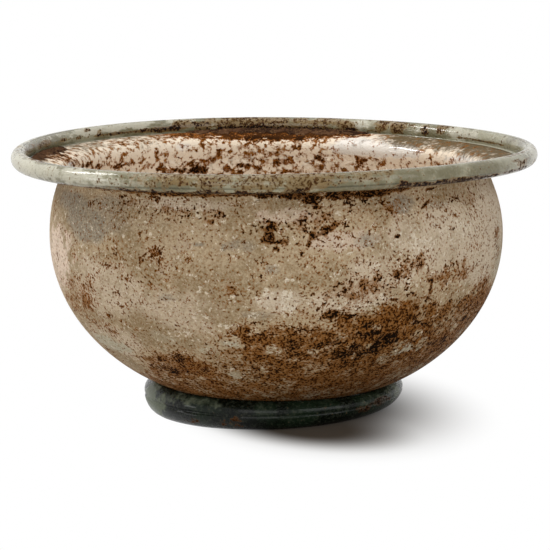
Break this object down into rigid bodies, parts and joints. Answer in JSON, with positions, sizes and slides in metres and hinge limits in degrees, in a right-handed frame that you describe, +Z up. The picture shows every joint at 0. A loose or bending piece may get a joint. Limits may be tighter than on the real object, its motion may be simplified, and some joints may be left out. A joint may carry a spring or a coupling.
{
  "type": "footed glass bowl",
  "caption": "Deep round free-blown glass bowl with a flanged, rolled hollow rim and an applied foot ring; weathered, with soil crusts.",
  "frame": {"origin": "on the surface the bowl stands on, under the centre of its outer box", "axes": "+Z up out of the mouth, -Y towards the front, +X to the right"},
  "size_m": [0.2078, 0.2118, 0.1086],
  "materials": {
    "weathered_glass": "satin, under a tan weathering film with brown stains",
    "rim_glass": "gloss, pale grey green",
    "foot_glass": "gloss, dark blue green",
    "soil": "rough dry soil crust"
  },
  "bodies": {
    "root": {"bowl_wall": "weathered_glass", "rolled_rim": "rim_glass", "foot_ring": "foot_glass", "pontil_scar": "foot_glass", "gutter_crust": "soil", "left_gutter_crust": "soil", "under_rim_crust": "soil", "inner_crust": "soil", "belly_crust": "soil"}
  },
  "joints": []
}
